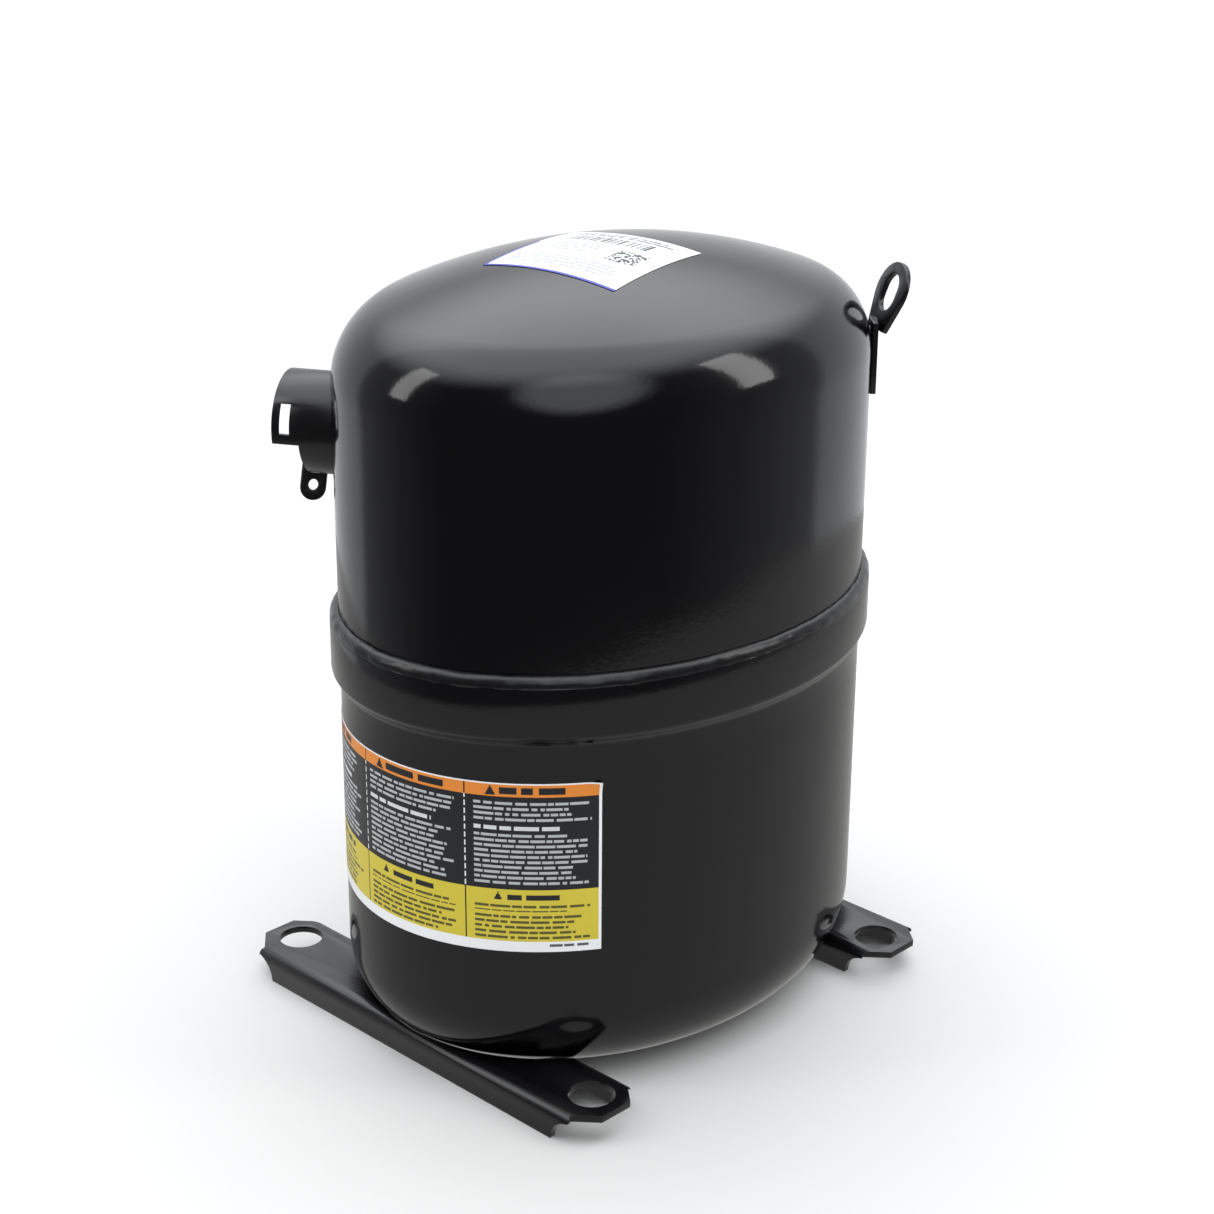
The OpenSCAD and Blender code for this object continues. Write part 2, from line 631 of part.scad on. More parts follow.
// ---- rods and pistons ----
module rod(i) at_shaft() translate([0, bore_side[i] * throw, bore_z[i]]) difference() {
  union() {
    translate([0, 0, -8]) cylinder(r = eccentric_r + 5, h = 16);
    translate([0, rod_length, -6]) cylinder(r = 7.5, h = 12);
    translate([-4.5, eccentric_r + 3, -5]) cube([9, rod_length - eccentric_r - 7, 10]);
  }
  translate([0, 0, -9]) cylinder(r = eccentric_r + running_fit, h = 18);
  translate([0, rod_length, -9]) cylinder(r = 4.5, h = 18);
  for (s = [-1, 1]) translate([-2.5, eccentric_r + 8, s > 0 ? 2 : -8]) cube([5, rod_length - eccentric_r - 18, 6]);
}

module wrist_pin(i) at_shaft() translate([0, bore_side[i] * throw + rod_length, bore_z[i] - 9])
  tube(4.48, 2.4, 18);

module piston(i) at_shaft() translate([0, bore_side[i] * throw + rod_length, bore_z[i]]) rotate([-90, 0, 0])
  difference() {
    translate([0, 0, -8]) cylinder(r = piston_r, h = small_to_crown + crown_t + 8);
    translate([0, 0, -9]) cylinder(r = piston_r - 3.8, h = small_to_crown + 9);
    translate([0, 0, small_to_crown + 1]) tube(piston_r + 1, piston_r - 1.6, 1.6);
  }

module piston_ring(i) at_shaft() translate([0, bore_side[i] * throw + rod_length, bore_z[i]])
  rotate([-90, 0, 0]) translate([0, 0, small_to_crown + 1.04]) tube(piston_r + 0.02, piston_r - 1.55, 1.52);

module lower_rod() color(alloy) rod(0);
module upper_rod() color(alloy) rod(1);
module lower_wrist_pin() color(bare) wrist_pin(0);
module upper_wrist_pin() color(bare) wrist_pin(1);
module lower_piston() color(alloy) piston(0);
module upper_piston() color(alloy) piston(1);
module lower_piston_ring() color(iron) piston_ring(0);
module upper_piston_ring() color(iron) piston_ring(1);

upper_shell();
lower_shell();
girth_weld();
front_foot_rail();
rear_foot_rail();
lifting_lug();
terminal_fence();
ground_strap();
terminal_cup();
terminal_pins();
terminal_glass();
suction_stub();
discharge_stub();
process_tube();
data_label();
caution_label();
spring_cups();
suspension_springs();
cylinder_block();
lower_bearing_plate();
lower_bearing_bolts();
stator_core();
stator_windings();
slot_liners();
stator_bolts();
motor_cap();
overload_protector();
head_gasket();
suction_reeds();
valve_plate();
discharge_reeds();
reed_stops();
cylinder_head();
head_bolts();
discharge_muffler();
discharge_loop();
crankshaft();
rotor_core();
rotor_end_rings();
counterweight();
oil_pickup();
lower_rod();
lower_wrist_pin();
upper_rod();
upper_wrist_pin();
lower_piston();
lower_piston_ring();
upper_piston();
upper_piston_ring();
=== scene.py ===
"""A welded hermetic compressor: an oval drawn can on two foot rails, with its motor and pump inside."""
import math
import random

import bpy
import numpy as np
from mathutils import Matrix, Vector


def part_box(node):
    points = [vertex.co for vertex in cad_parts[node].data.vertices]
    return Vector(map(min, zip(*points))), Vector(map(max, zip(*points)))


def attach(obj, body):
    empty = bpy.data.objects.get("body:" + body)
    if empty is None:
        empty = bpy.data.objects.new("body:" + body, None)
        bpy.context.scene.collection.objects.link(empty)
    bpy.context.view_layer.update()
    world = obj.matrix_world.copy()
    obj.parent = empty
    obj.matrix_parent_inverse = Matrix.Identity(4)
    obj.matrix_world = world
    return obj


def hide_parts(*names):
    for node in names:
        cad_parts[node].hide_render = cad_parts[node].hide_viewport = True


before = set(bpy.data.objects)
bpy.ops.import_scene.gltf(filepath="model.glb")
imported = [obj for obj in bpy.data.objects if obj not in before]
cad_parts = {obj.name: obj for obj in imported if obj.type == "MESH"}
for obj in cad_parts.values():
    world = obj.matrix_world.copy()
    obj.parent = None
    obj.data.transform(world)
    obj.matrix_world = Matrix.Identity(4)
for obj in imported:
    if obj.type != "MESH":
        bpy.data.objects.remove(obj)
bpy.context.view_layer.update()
MM = 0.001


# ---- Camera ----
# A long lens a little over a metre away looks down on the corner between the two foot rails,
# with the terminal fence at the left edge of the can and the lifting lug at the right.
camera_place = Vector((0.7014, -0.7154, 0.5570))
camera_turn = math.radians(44.01)
camera_dip = math.radians(21.19)
camera_roll = math.radians(0.37)

bpy.ops.object.camera_add()
camera = bpy.context.object
camera.data.sensor_width = 36
camera.data.lens = 71.74
camera.matrix_world = (Matrix.Translation(camera_place) @ Matrix.Rotation(camera_turn, 4, "Z")
                       @ Matrix.Rotation(math.pi / 2 - camera_dip, 4, "X")
                       @ Matrix.Rotation(camera_roll, 4, "Z"))
bpy.context.scene.camera = camera
bpy.context.scene.view_settings.view_transform = "Standard"


# ---- Studio ----
# A pale seamless floor under soft light. A tall lamp stands at each side. The sky is bright
# overhead and behind the can, and dim on the camera's side but for one high window.
def colour(code):
    """The linear colour of an sRGB hex code such as #20C0FF."""
    parts = [int(code[i:i + 2], 16) / 255 for i in (1, 3, 5)]
    return [*(c / 12.92 if c <= 0.04045 else ((c + 0.055) / 1.055) ** 2.4 for c in parts), 1.0]


def add_node(tree, kind, sockets=(), **settings):
    """Adds one node; sockets maps an input's name or number to its value or to what feeds it."""
    made = tree.nodes.new("ShaderNode" + kind)
    for name, value in settings.items():
        setattr(made, name, value)
    for key, value in dict(sockets).items():
        if isinstance(value, bpy.types.NodeSocket):
            tree.links.new(value, made.inputs[key])
        else:
            made.inputs[key].default_value = value
    return made


def new_material(name, **shader):
    """A material with its shader's own sockets set, its node tree, and Object coordinates."""
    made = bpy.data.materials.new(name)
    made.use_nodes = True
    tree = made.node_tree
    tree.nodes.clear()
    body = add_node(tree, "BsdfPrincipled", {k.replace("_", " "): v for k, v in shader.items()})
    add_node(tree, "OutputMaterial", {"Surface": body.outputs[0]})
    return made, tree, body, add_node(tree, "TexCoord").outputs["Object"]


def lamp(name, place, aim, size, power):
    """A soft rectangular lamp at place that shines towards aim; size is its width and height."""
    bpy.ops.object.light_add(type="AREA", location=place)
    made = bpy.context.object
    made.name = name
    made.data.shape = "RECTANGLE"
    made.data.size, made.data.size_y = size
    made.data.energy = power
    made.rotation_euler = (Vector(aim) - Vector(place)).to_track_quat("-Z", "Y").to_euler()


floor_z = min(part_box("front_foot_rail")[0].z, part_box("rear_foot_rail")[0].z)
paper, tree, body, coords = new_material("seamless_paper", Roughness=0.7, Specular_IOR_Level=0.2)
grain = add_node(tree, "TexNoise", {"Vector": coords, "Scale": 900.0, "Detail": 3.0})
tone = add_node(tree, "Mix", {0: grain.outputs["Fac"], 6: colour("#CBCBC9"), 7: colour("#CFCFCD")},
                data_type="RGBA")
tree.links.new(tone.outputs[2], body.inputs["Base Color"])
bpy.ops.mesh.primitive_plane_add(size=14, location=(0, 0, floor_z))
floor = bpy.context.object
floor.name = "floor"
floor.data.materials.append(paper)
floor.visible_glossy = False

# Painted reflection of the floor: a glowing disc that only the enamel's reflections see stands in for a round
# table's worth of lit floor, and none beyond. It is no lamp, and the camera never sees it.
table_reflection_glow = bpy.data.materials.new("table_reflection_glow")
table_reflection_glow.use_nodes = True
table_reflection_glow.node_tree.nodes.clear()
# The disc's even glow is the painted reflection: a fixed brightness with no lamp behind it and no shadow on
# it.
glow = add_node(table_reflection_glow.node_tree, "Emission", {"Color": colour("#F4F4F2"), "Strength": 0.55})
add_node(table_reflection_glow.node_tree, "OutputMaterial", {"Surface": glow.outputs[0]})
bpy.ops.mesh.primitive_circle_add(vertices=96, radius=0.62, fill_type="NGON",
                                  location=(0, 0.1, floor_z - 1 * MM))
table = bpy.context.object
table.name = "table_reflection_card"
table.data.materials.append(table_reflection_glow)
table.visible_camera = table.visible_diffuse = table.visible_shadow = table.visible_transmission = False

behind = Vector((-math.sin(camera_turn), math.cos(camera_turn), 0))
aside = Vector((math.cos(camera_turn), math.sin(camera_turn), 0))
lamp("left_lamp", aside * -1.2 - behind * 0.3 + Vector((0, 0, 0.95)), (0, 0, 0.2), (0.3, 0.9), 3)
lamp("right_lamp", aside * 1.3 - behind * 0.2 + Vector((0, 0, 0.9)), (0, 0, 0.2), (0.35, 0.9), 4)

world = bpy.data.worlds.new("studio_sky")
world.use_nodes = True
bpy.context.scene.world = world
sky = world.node_tree
sky.nodes.clear()
direction = add_node(sky, "TexCoord").outputs["Generated"]


def sky_part(aim, start, full, low, high, **settings):
    """Light that grows from low to high where the sky's direction turns from start to full towards aim."""
    turned = add_node(sky, "VectorMath", {0: direction, 1: aim}, operation="DOT_PRODUCT")
    return add_node(sky, "MapRange", {"Value": turned.outputs["Value"], "From Min": start, "From Max": full,
                                      "To Min": low, "To Max": high}, **settings).outputs[0]


soft = {"interpolation_type": "SMOOTHSTEP"}
overhead = (behind * 0.2 + Vector((0, 0, 1))).normalized()
front_window = (behind * -0.75 + aside * 0.25 + Vector((0, 0, 0.6))).normalized()
sky_sum = sky_part(behind, -0.6, 0.3, 0.10, 0.40)
for part in (sky_part(behind, 0.3, 0.42, 0.0, 0.5, **soft), sky_part(overhead, 0.5, 0.9, 0.0, 2.6, **soft),
             sky_part(front_window, 0.87, 0.97, 0.0, 1.6, **soft)):
    sky_sum = add_node(sky, "Math", {0: sky_sum, 1: part}, operation="ADD").outputs[0]
sky_light = add_node(sky, "Background", {"Color": colour("#F4F6FA"), "Strength": sky_sum})
add_node(sky, "OutputWorld", {"Surface": sky_light.outputs[0]})


# ---- Springs and their cups ----
# Four steel coil springs carry the pump and the motor, which hang free of the can. They stand
# in pressed cups that are welded to the can's bottom.
def toned(name, dark, light, grain, rough, relief=0.0, stretch=(1, 1, 1), **shader):
    """A finish that wanders between two tones; rough is the range of its roughness. The pattern's
    size is grain and its height is relief, both in millimetres, and stretch squeezes it."""
    made, tree, body, coords = new_material(name, **shader)
    drawn = add_node(tree, "Mapping", {"Vector": coords, "Scale": stretch})
    pattern = add_node(tree, "TexNoise", {"Vector": drawn.outputs[0], "Scale": 1 / (grain * MM),
                                          "Detail": 4.0}).outputs["Fac"]
    tone = add_node(tree, "Mix", {0: pattern, 6: colour(dark), 7: colour(light)}, data_type="RGBA")
    tree.links.new(tone.outputs[2], body.inputs["Base Color"])
    gloss = add_node(tree, "MapRange", {"Value": pattern, "To Min": rough[0], "To Max": rough[1]})
    tree.links.new(gloss.outputs[0], body.inputs["Roughness"])
    skin = add_node(tree, "Bump", {"Height": pattern, "Strength": 0.5, "Distance": relief * MM})
    tree.links.new(skin.outputs[0], body.inputs["Normal"])
    return made


def dress(material, *nodes):
    """Gives CAD nodes that stay as they are their finish."""
    for name in nodes:
        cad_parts[name].data.materials.clear()
        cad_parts[name].data.materials.append(material)


spring_steel = toned("oiled_spring_steel", "#4A4B4E", "#6B6C70", 3, (0.28, 0.42), 0.02, Metallic=1.0)
dress(spring_steel, "suspension_springs", "spring_cups")


# ---- Cylinder block and lower bearing ----
# One grey iron casting holds both cylinders, the main bearing and the deck that the motor
# stands on. A plate with the lower bearing is bolted under it with four steel screws.
grey_iron = toned("sand_cast_iron", "#4E4F50", "#67686A", 1.4, (0.5, 0.7), 0.25, Metallic=0.7)
dress(grey_iron, "cylinder_block", "lower_bearing_plate")
screw_steel = toned("phosphated_screw_steel", "#3C3D3F", "#56585A", 2, (0.38, 0.5), 0.01, Metallic=0.9)
dress(screw_steel, "lower_bearing_bolts")


# ---- Crankshaft and oil pick-up ----
# A forged steel shaft with two eccentrics, ground on its journals and drilled for oil. The
# pressed pick-up cone at its foot dips into the sump and throws the oil up the bore.
ground_steel = toned("ground_steel", "#A3A5A8", "#BBBDC0", 1.2, (0.14, 0.24), 0.004, (1, 1, 9), Metallic=1.0)
dress(ground_steel, "crankshaft")
pressed_steel = toned("pressed_steel", "#7E8083", "#97999C", 6, (0.3, 0.42), 0.02, Metallic=1.0)
dress(pressed_steel, "oil_pickup")


# ---- Rods and pistons ----
# Die-cast aluminium rods run straight on the eccentrics. The pistons are aluminium cups with
# one iron ring each, and hollow ground pins join them to the rods.
cast_aluminium = toned("die_cast_aluminium", "#A9ABAD", "#C0C2C4", 2.5, (0.36, 0.5), 0.05, Metallic=1.0)
dress(cast_aluminium, "lower_rod", "upper_rod")
turned_aluminium = toned("turned_aluminium", "#B4B6B8", "#CCCED0", 0.9, (0.22, 0.34), 0.01, (1, 8, 1),
                         Metallic=1.0)
dress(turned_aluminium, "lower_piston", "upper_piston")
dress(ground_steel, "lower_wrist_pin", "upper_wrist_pin")
ring_iron = toned("ring_iron", "#5A5B5D", "#707174", 0.8, (0.25, 0.35), 0.004, (1, 8, 1), Metallic=1.0)
dress(ring_iron, "lower_piston_ring", "upper_piston_ring")


# ---- Valve gear and cylinder head ----
# A lapped steel plate with thin flapper reeds on both faces is clamped with its fibre gasket
# between the block and an iron head, by six screws. Curved stops keep the outer reeds back.
gasket_fibre = toned("graphited_fibre", "#35403A", "#45504A", 0.8, (0.75, 0.9), 0.05)
dress(gasket_fibre, "head_gasket")
reed_steel = toned("polished_reed_steel", "#A8AAB0", "#BFC1C6", 4, (0.1, 0.18), 0.0, Metallic=1.0)
dress(reed_steel, "suction_reeds", "discharge_reeds")
lapped_steel = toned("lapped_steel", "#919396", "#A6A8AB", 2, (0.2, 0.3), 0.002, Metallic=1.0)
dress(lapped_steel, "valve_plate", "reed_stops")
dress(grey_iron, "cylinder_head")
dress(screw_steel, "head_bolts")


# ---- Discharge muffler and loop ----
# A pressed steel can smooths the discharge pulses. Soft copper tube then loops over the head
# to the can's wall, long enough to bend as the pump rocks on its springs.
dress(pressed_steel, "discharge_muffler")
copper_tube = toned("drawn_copper", "#B0663F", "#C98058", 7, (0.2, 0.36), 0.01, Metallic=1.0)
dress(copper_tube, "discharge_loop")


# ---- Stator ----
# Stamped steel sheets are stacked and held to the block's deck by four long screws. Varnished
# copper wire fills the slots over liners of polyester film and is laced at both ends.
stack_steel = toned("stacked_laminations", "#5B5C60", "#85868A", 1.1, (0.35, 0.5), 0.1, (0.05, 0.05, 2),
                    Metallic=1.0)
dress(stack_steel, "stator_core")
winding_copper = toned("varnished_winding", "#8A4524", "#B5673A", 1.3, (0.3, 0.45), 0.5, (1, 1, 2),
                       Metallic=0.75, Coat_Weight=0.4, Coat_Roughness=0.2)
dress(winding_copper, "stator_windings")
liner_film = toned("milky_liner_film", "#D6D5C2", "#E2E1CF", 8, (0.35, 0.45), 0.0)
dress(liner_film, "slot_liners")
dress(screw_steel, "stator_bolts")


# ---- Rotor ----
# Laminations pressed on the shaft, with a cage of die-cast aluminium whose end rings carry
# small fan blades. An iron weight above them balances the two throws and the pistons.
dress(stack_steel, "rotor_core")
dress(cast_aluminium, "rotor_end_rings")
dress(grey_iron, "counterweight")


# ---- Motor cap and overload protector ----
# A moulded cap over the upper end turns draws the suction gas past them. The protector is
# strapped to the windings and opens the circuit when they get too hot.
moulded_nylon = toned("moulded_black_nylon", "#18181A", "#222225", 5, (0.4, 0.55), 0.03)
dress(moulded_nylon, "motor_cap", "overload_protector")


# ---- Upper shell ----
# The lid of the can: sheet steel drawn to an oval dome with a broad shoulder. It is dipped in
# gloss black enamel, which dries with a fine orange peel over the sheet's slight waves.
can_low, can_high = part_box("upper_shell")
can_centre = (can_low + can_high) / 2
half_width = (can_high.x - can_low.x) / 2
half_length = (can_high.y - can_low.y) / 2
sheet_steel = 4 * MM


def arc(centre, radius, start, end, steps):
    """Points on an arc in an outline's plane; its angles, in degrees, are measured from straight up."""
    turns = [math.radians(start + (end - start) * i / steps) for i in range(steps + 1)]
    return [(centre[0] + radius * math.sin(a), centre[1] + radius * math.cos(a)) for a in turns]


def start_edit(piece):
    """Selects only this piece and opens it in edit mode with all of its mesh selected."""
    bpy.ops.object.select_all(action="DESELECT")
    piece.select_set(True)
    bpy.context.view_layer.objects.active = piece
    bpy.ops.object.mode_set(mode="EDIT")
    bpy.ops.mesh.select_all(action="SELECT")


def spin_oval(name, outline, steps=192, closed=False):
    """Spins an outline round the can's axis and presses it oval. The outline's points give the
    reach along the can's length and the height."""
    bpy.ops.object.select_all(action="DESELECT")
    bpy.ops.mesh.primitive_plane_add(size=1 * MM)
    piece = bpy.context.object
    piece.name = name
    start_edit(piece)
    bpy.ops.mesh.merge(type="CENTER")
    bpy.ops.transform.translate(value=(0, outline[0][0], outline[0][1]))
    for (r0, z0), (r1, z1) in zip(outline, outline[1:] + (outline[:1] if closed else [])):
        bpy.ops.mesh.extrude_vertices_move(TRANSFORM_OT_translate={"value": (0, r1 - r0, z1 - z0)})
    bpy.ops.mesh.select_all(action="SELECT")
    bpy.ops.mesh.spin(steps=steps, angle=math.tau, center=(0, 0, 0), axis=(0, 0, 1))
    bpy.ops.mesh.select_all(action="SELECT")
    bpy.ops.mesh.remove_doubles(threshold=0.01 * MM)
    bpy.ops.mesh.normals_make_consistent(inside=False)
    bpy.ops.transform.resize(value=(half_width / half_length, 1, 1), center_override=(0, 0, 0))
    bpy.ops.transform.translate(value=(can_centre.x, can_centre.y, 0))
    bpy.ops.object.mode_set(mode="OBJECT")
    return piece


def add_modifier(piece, kind, **settings):
    """Adds a modifier to the piece and applies it at once."""
    bpy.ops.object.select_all(action="DESELECT")
    piece.select_set(True)
    bpy.context.view_layer.objects.active = piece
    made = piece.modifiers.new(kind.lower(), kind)
    for name, value in settings.items():
        setattr(made, name, value)
    bpy.ops.object.modifier_apply(modifier=made.name)


def smooth(piece, angle=40):
    """Smooth shading, with edges sharper than the angle kept crisp."""
    bpy.ops.object.select_all(action="DESELECT")
    piece.select_set(True)
    bpy.context.view_layer.objects.active = piece
    bpy.ops.object.shade_smooth_by_angle(angle=math.radians(angle))


def hand_over(piece, material, slot, body, *nodes):
    """Gives the piece its finish and its body, and lets it stand for its CAD nodes."""
    piece.data.materials.clear()
    piece.data.materials.append(material)
    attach(piece, body)
    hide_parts(*nodes)


# Baked enamel: nearly black with a clear gloss. The peel's hills stand about 2 mm apart, and
# the drawn sheet's waves about 45 mm; both are only seen in what the enamel mirrors.
enamel, tree, body, coords = new_material("gloss_black_enamel", Base_Color=colour("#050507"), IOR=1.5)
patches = add_node(tree, "TexNoise", {"Vector": coords, "Scale": 1 / (60 * MM), "Detail": 3.0})
gloss = add_node(tree, "MapRange", {"Value": patches.outputs["Fac"], "To Min": 0.07, "To Max": 0.15})
tree.links.new(gloss.outputs[0], body.inputs["Roughness"])
peel = add_node(tree, "TexNoise", {"Vector": coords, "Scale": 1 / (2.2 * MM), "Detail": 1.5})
waves = add_node(tree, "TexNoise", {"Vector": coords, "Scale": 1 / (45 * MM), "Detail": 0.5})
swell = add_node(tree, "Bump", {"Height": waves.outputs["Fac"], "Strength": 0.35, "Distance": 1.0 * MM})
skin = add_node(tree, "Bump", {"Height": peel.outputs["Fac"], "Strength": 0.22, "Distance": 0.1 * MM,
                               "Normal": swell.outputs[0]})
tree.links.new(skin.outputs[0], body.inputs["Normal"])

shoulder_r = 34 * MM
crown_r = 314 * MM
shoulder_z = can_high.z - crown_r + math.sqrt((crown_r - shoulder_r) ** 2 - (half_length - shoulder_r) ** 2)
lean = math.degrees(math.asin((half_length - shoulder_r) / (crown_r - shoulder_r)))
outline = arc((0, can_high.z - crown_r), crown_r, 0, lean, 14)[:-1]
outline += arc((half_length - shoulder_r, shoulder_z), shoulder_r, lean, 90, 18)
wall_rows = 12
wall_h = shoulder_z - can_low.z
outline += [(half_length, shoulder_z - wall_h * i / wall_rows) for i in range(1, wall_rows + 1)]
upper = spin_oval("upper_can", outline)
add_modifier(upper, "SOLIDIFY", thickness=sheet_steel, offset=-1, use_even_offset=True)
smooth(upper)
hand_over(upper, enamel, "enamelled_steel", "can", "upper_shell")


# ---- Lower shell ----
# The deep cup that carries the pump. Its rim is pressed out to a lip that takes the lid inside
# it, with a soft step below, and its bottom is rounded where it sits between the rails.
cup_low, cup_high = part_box("lower_shell")
lip_r = (cup_high.y - cup_low.y) / 2
corner_r = 34 * MM
lip_h = cup_high.z - can_low.z + 6 * MM
step_h = 7 * MM
outline = [(0, cup_low.z), ((half_length - corner_r) * 0.5, cup_low.z)]
outline += arc((half_length - corner_r, cup_low.z + corner_r), corner_r, 180, 90, 16)
step_z = cup_high.z - lip_h - step_h
corner_z = cup_low.z + corner_r
outline += [(half_length, corner_z + (step_z - corner_z) * i / 10) for i in range(1, 11)]
for i in range(1, 9):
    rise = i / 8
    eased = 3 * rise ** 2 - 2 * rise ** 3
    outline.append((half_length + (lip_r - half_length) * eased, step_z + step_h * rise))
outline += [(lip_r, cup_high.z - 8 * MM)]
outline += arc((lip_r - 1.2 * MM, cup_high.z - 1.2 * MM), 1.2 * MM, 90, 0, 4)
outline += [(half_length + 0.1 * MM, cup_high.z)]
lower = spin_oval("lower_can", outline)
add_modifier(lower, "SOLIDIFY", thickness=sheet_steel * 0.95, offset=-1, use_even_offset=True)
smooth(lower)
hand_over(lower, enamel, "enamelled_steel", "can", "lower_shell")


# ---- Girth weld ----
# One bead closes the can: a machine lays it into the corner between the lip's rim and the lid.
# It is smooth and shiny under the enamel, with a slightly uneven edge.
bead_low, bead_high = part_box("girth_weld")
bead_r = (bead_high.y - bead_low.y) / 2
bead_w = bead_r - half_length
outline = [(half_length - 0.5 * MM, bead_low.z - 0.5 * MM)]
outline += arc((half_length - 0.2 * MM, bead_low.z - 0.2 * MM), bead_w + 0.7 * MM, 100, 5, 10)
bead = spin_oval("weld_bead", outline, steps=384, closed=True)
ripple = bpy.data.textures.new("bead_ripple", "CLOUDS")
ripple.noise_scale = 7 * MM
add_modifier(bead, "DISPLACE", texture=ripple, strength=0.8 * MM, mid_level=0.5, texture_coords="LOCAL")
smooth(bead, 60)
bead_enamel = toned("enamel_over_weld", "#08080A", "#111113", 4, (0.2, 0.36), 0.15, IOR=1.5)
hand_over(bead, bead_enamel, "enamelled_steel", "can", "girth_weld")


# ---- Foot rails ----
# Two channels pressed from 3 mm strip, welded under the can. Their flat tongues reach past the
# skirts and take a rubber grommet in each hole. The enamel on them is thinner and less shiny.
def refine(node, name, edge, segments=2):
    """Copies a CAD node, joins its loose triangles and breaks its sharp edges by a small radius."""
    piece = bpy.data.objects.new(name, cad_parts[node].data.copy())
    bpy.context.scene.collection.objects.link(piece)
    start_edit(piece)
    bpy.ops.mesh.remove_doubles(threshold=0.005 * MM)
    bpy.ops.mesh.dissolve_limited(angle_limit=math.radians(1))
    bpy.ops.object.mode_set(mode="OBJECT")
    add_modifier(piece, "BEVEL", width=edge, segments=segments, limit_method="ANGLE",
                 angle_limit=math.radians(40), use_clamp_overlap=True)
    smooth(piece, 35)
    return piece


rail_enamel, tree, body, coords = new_material("satin_black_enamel", Base_Color=colour("#0B0B0D"), IOR=1.5)
patches = add_node(tree, "TexNoise", {"Vector": coords, "Scale": 1 / (18 * MM), "Detail": 5.0})
gloss = add_node(tree, "MapRange", {"Value": patches.outputs["Fac"], "To Min": 0.18, "To Max": 0.34})
tree.links.new(gloss.outputs[0], body.inputs["Roughness"])
peel = add_node(tree, "TexNoise", {"Vector": coords, "Scale": 1 / (1.6 * MM), "Detail": 2.0})
skin = add_node(tree, "Bump", {"Height": peel.outputs["Fac"], "Strength": 0.2, "Distance": 0.1 * MM})
tree.links.new(skin.outputs[0], body.inputs["Normal"])
for side in ("front", "rear"):
    rail = refine(f"{side}_foot_rail", f"{side}_rail", 0.5 * MM)
    hand_over(rail, rail_enamel, "rail_steel", "can", f"{side}_foot_rail")


# ---- Lifting lug ----
# A steel strap welded high on the can's wall. Its eye leans outward and takes a crane hook.
lug = refine("lifting_lug", "lug", 0.5 * MM)
hand_over(lug, rail_enamel, "rail_steel", "can", "lifting_lug")


# ---- Terminal fence and ground strap ----
# A short steel drum round the electric terminals, with a window on each side for the cover's
# clip. The strap welded to it has a hole for the ground wire's screw.
fence = refine("terminal_fence", "fence", 0.4 * MM)
hand_over(fence, rail_enamel, "enamelled_steel", "can", "terminal_fence")
strap = refine("ground_strap", "strap", 0.4 * MM)
hand_over(strap, rail_enamel, "rail_steel", "can", "ground_strap")


# ---- Terminals ----
# A steel cup welded into the wall, with three plated pins for the motor's leads. Each pin is
# sealed in its own bead of fused glass.
dress(pressed_steel, "terminal_cup")
plated_pin = toned("plated_pin", "#B8BABC", "#CFD1D3", 2, (0.15, 0.25), 0.002, Metallic=1.0)
dress(plated_pin, "terminal_pins")
sealing_glass = toned("fused_glass", "#12302A", "#1E463D", 1.5, (0.05, 0.12), 0.01, IOR=1.52, Coat_Weight=0.5)
dress(sealing_glass, "terminal_glass")


# ---- Tube stubs ----
# Copper stubs brazed into the wall, away from the labels: a wide one for suction, a narrower
# one for discharge and a thin one for charging.
dress(copper_tube, "suction_stub", "discharge_stub", "process_tube")


# ---- Data label ----
# White film stuck on the crown, with a blue edge. Its print is plain bars and blocks only.
class Print:
    """The print of a label as rows and columns of coloured cells; lengths are in millimetres."""

    def __init__(self, width, height, cell, ground):
        self.width, self.height, self.cell = width, height, cell
        self.cells = np.empty((round(height / cell), round(width / cell), 4))
        self.cells[:] = colour(ground)

    def bar(self, left, low, right, high, code):
        c = self.cell
        self.cells[round(low / c):round(high / c), round(left / c):round(right / c)] = colour(code)

    def triangle(self, left, low, size, code):
        """A plain upright triangle made of ever shorter bars."""
        rows = round(size / self.cell)
        for row in range(rows):
            inset = size / 2 * row / rows
            foot_z = low + row * self.cell
            self.bar(left + inset, foot_z, left + size - inset, foot_z + self.cell, code)

    def lines(self, left, right, top, count, pitch, high, code, seed):
        """Rows of word-long bars, from the top down."""
        words = random.Random(seed)
        for row in range(count):
            x, low = left, top - row * pitch
            end = right - words.uniform(0, 0.22) * (right - left)
            while x < end:
                length = words.uniform(1.5, 7) * high
                self.bar(x, low - high, min(x + length, end), low, code)
                x += length + 0.7 * high

    def sheet(self, name):
        """A flat grid with one face for each cell, and the print as its colour attribute."""
        rows, columns = self.cells.shape[:2]
        bpy.ops.object.select_all(action="DESELECT")
        bpy.ops.mesh.primitive_grid_add(x_subdivisions=columns, y_subdivisions=rows, size=1)
        made = bpy.context.object
        made.name = name
        made.data.transform(Matrix.Diagonal((self.width * MM, self.height * MM, 1, 1)))
        ink = made.data.color_attributes.new("ink", "FLOAT_COLOR", "CORNER")
        for face in made.data.polygons:
            column = int((face.center.x / MM / self.width + 0.5) * columns)
            row = int((face.center.y / MM / self.height + 0.5) * rows)
            for corner in face.loop_indices:
                ink.data[corner].color = self.cells[row, column]
        return made


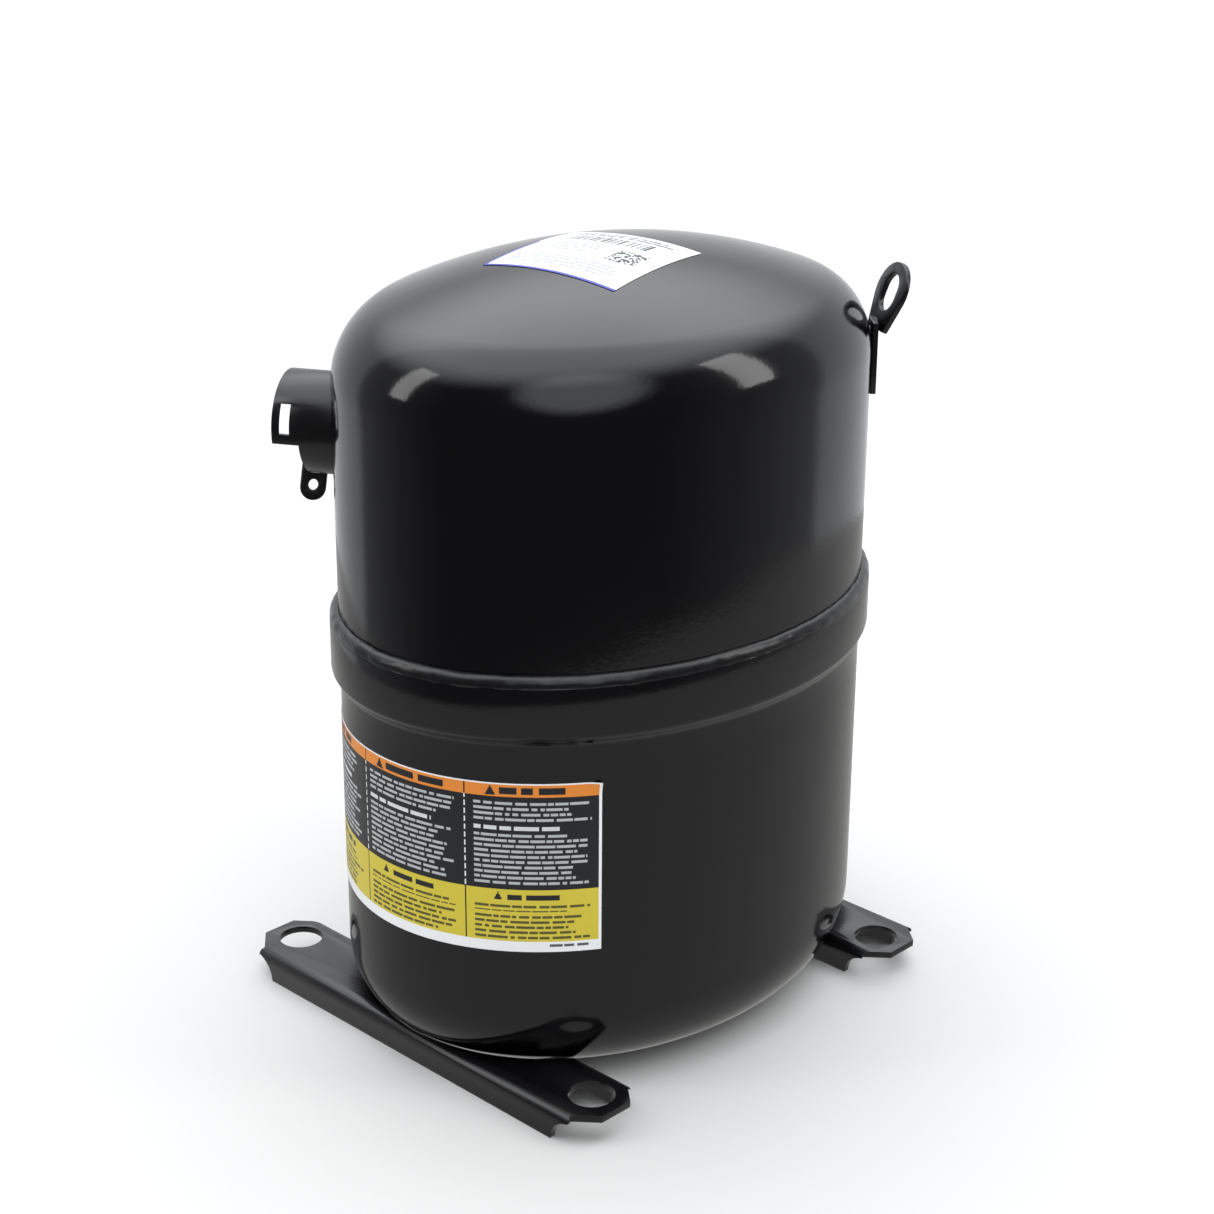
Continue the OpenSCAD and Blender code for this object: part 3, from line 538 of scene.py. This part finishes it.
def print_film(name, **shader):
    """Printed film: the cells' colours under a thin clear skin."""
    made, tree, body, coords = new_material(name, **shader)
    ink = add_node(tree, "Attribute", attribute_name="ink")
    tree.links.new(ink.outputs["Color"], body.inputs["Base Color"])
    ripple = add_node(tree, "TexNoise", {"Vector": coords, "Scale": 1 / (9 * MM), "Detail": 2.0})
    dent = add_node(tree, "Bump", {"Height": ripple.outputs["Fac"], "Strength": 0.25, "Distance": 0.3 * MM})
    tree.links.new(dent.outputs[0], body.inputs["Normal"])
    return made


label_film = print_film("printed_white_film", Roughness=0.38, IOR=1.46)
width, height = 66, 64
art = Print(width, height, 0.5, "#DFE1E4")
BLUE, INK = "#3A3FA8", "#26262B"
art.bar(0, 0, width, 1.5, BLUE)
art.bar(0, 0, 1.5, height * 0.6, BLUE)
strokes = random.Random(4)
x = 8
while x < 52:
    stroke = strokes.choice((0.5, 1, 1.5))
    art.bar(x, 44, x + stroke, 53, INK)
    x += stroke + strokes.choice((0.5, 1, 1.5))
art.lines(8, 58, 60, 2, 3, 1.5, INK, 7)
for i in range(14):
    for j in range(14):
        if strokes.random() < 0.5:
            art.bar(44 + i, 24 + j, 45 + i, 25 + j, INK)
art.lines(6, 38, 40, 5, 3, 1.0, "#7B7F8C", 9)
art.lines(6, 58, 18, 4, 3, 1.0, "#8A8FA0", 11)
label = art.sheet("crown_label")
label_low, label_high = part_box("data_label")
label_place = (label_low + label_high) / 2
label_place.z = can_high.z + 70 * MM
label.data.transform(Matrix.Translation(label_place) @ Matrix.Rotation(math.radians(9), 4, "Z"))
add_modifier(label, "SHRINKWRAP", target=upper, wrap_method="PROJECT", use_project_z=True,
             use_negative_direction=True, use_positive_direction=False, offset=0.1 * MM)
add_modifier(label, "SOLIDIFY", thickness=0.15 * MM, offset=1)
smooth(label)
hand_over(label, label_film, "label_film", "can", "data_label")


# ---- Caution label ----
# A wide printed film round the front of the can, in three panels of orange, black and yellow
# over a white foot. Its print is plain bars. One top corner has come unstuck.
caution_low, caution_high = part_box("caution_label")
turns = np.radians(np.linspace(-123, -46.6, 400))
turns = np.unwrap(np.arctan2(np.sin(turns) / half_length, np.cos(turns) / half_width))
wall_x, wall_y = half_width * np.cos(turns), half_length * np.sin(turns)
lengths = np.concatenate([[0], np.cumsum(np.hypot(np.diff(wall_x), np.diff(wall_y)))])
width = lengths[-1] / MM
height = (caution_high.z - caution_low.z) / MM
caution_film = print_film("printed_caution_film", Roughness=0.3, IOR=1.46)
art = Print(width, height, 0.6, "#F4F5F5")
ORANGE, BLACK, YELLOW, GREY = "#E88A2E", "#1D1E22", "#D8C63B", "#B9BCBE"
foot, yellow_top, black_top = 5, 28.5, 70.5
art.bar(1.5, foot, width - 1.5, yellow_top, YELLOW)
art.bar(1.5, yellow_top, width - 1.5, black_top, BLACK)
art.bar(1.5, black_top, width - 1.5, height - 0.6, ORANGE)
art.lines(width - 22, width - 5, 3.6, 1, 2, 1.2, "#55585C", 3)
panels = [0, width * 0.335, width * 0.66, width]
for i, (left, right) in enumerate(zip(panels, panels[1:])):
    a, b = left + 4, right - 4
    art.lines(a + 11, b - 4, height - 1.8, 1, 3, 3.0, BLACK, 20 + i)
    art.triangle(a + 5, height - 5.4, 4.2, BLACK)
    art.lines(a, b, black_top - 2, 4, 2.4, 1.2, GREY, 30 + i)
    art.lines(a, b - 8, black_top - 13, 1, 2.4, 1.8, "#D9DBDC", 40 + i)
    art.lines(a, b, black_top - 16.8, 10, 2.4, 1.2, GREY, 50 + i)
    art.lines(a + 14, b - 8, yellow_top - 2, 1, 3, 2.4, BLACK, 60 + i)
    art.triangle(a + 8, yellow_top - 4.8, 3.6, BLACK)
    art.lines(a, b, yellow_top - 6.6, 7, 2.4, 1.2, "#5B5625", 70 + i)
for x in panels[1:-1]:
    for z in np.arange(yellow_top + 1, black_top - 1, 3.6):
        art.bar(x, z, x + 0.6, z + 2.4, "#E6E8E8")
    art.bar(x, foot, x + 0.6, yellow_top, BLACK)
    art.bar(x, black_top, x + 0.6, height - 0.6, BLACK)
warning = art.sheet("wall_label")
curl = 7 * MM
for vertex in warning.data.vertices:
    along = vertex.co.x + width * MM / 2
    z = vertex.co.y + (caution_high.z + caution_low.z) / 2
    turn = np.interp(along, lengths, turns)
    out = Vector((math.cos(turn) / half_width, math.sin(turn) / half_length, 0)).normalized()
    lift = max(0, 1 - math.hypot(width * MM - along, caution_high.z - z) / curl)
    vertex.co = Vector((can_centre.x + half_width * math.cos(turn),
                        can_centre.y + half_length * math.sin(turn), z))
    vertex.co += out * (0.12 + 2.0 * lift ** 2) * MM
add_modifier(warning, "SOLIDIFY", thickness=0.15 * MM, offset=1)
smooth(warning)
hand_over(warning, caution_film, "caution_film", "can", "caution_label")
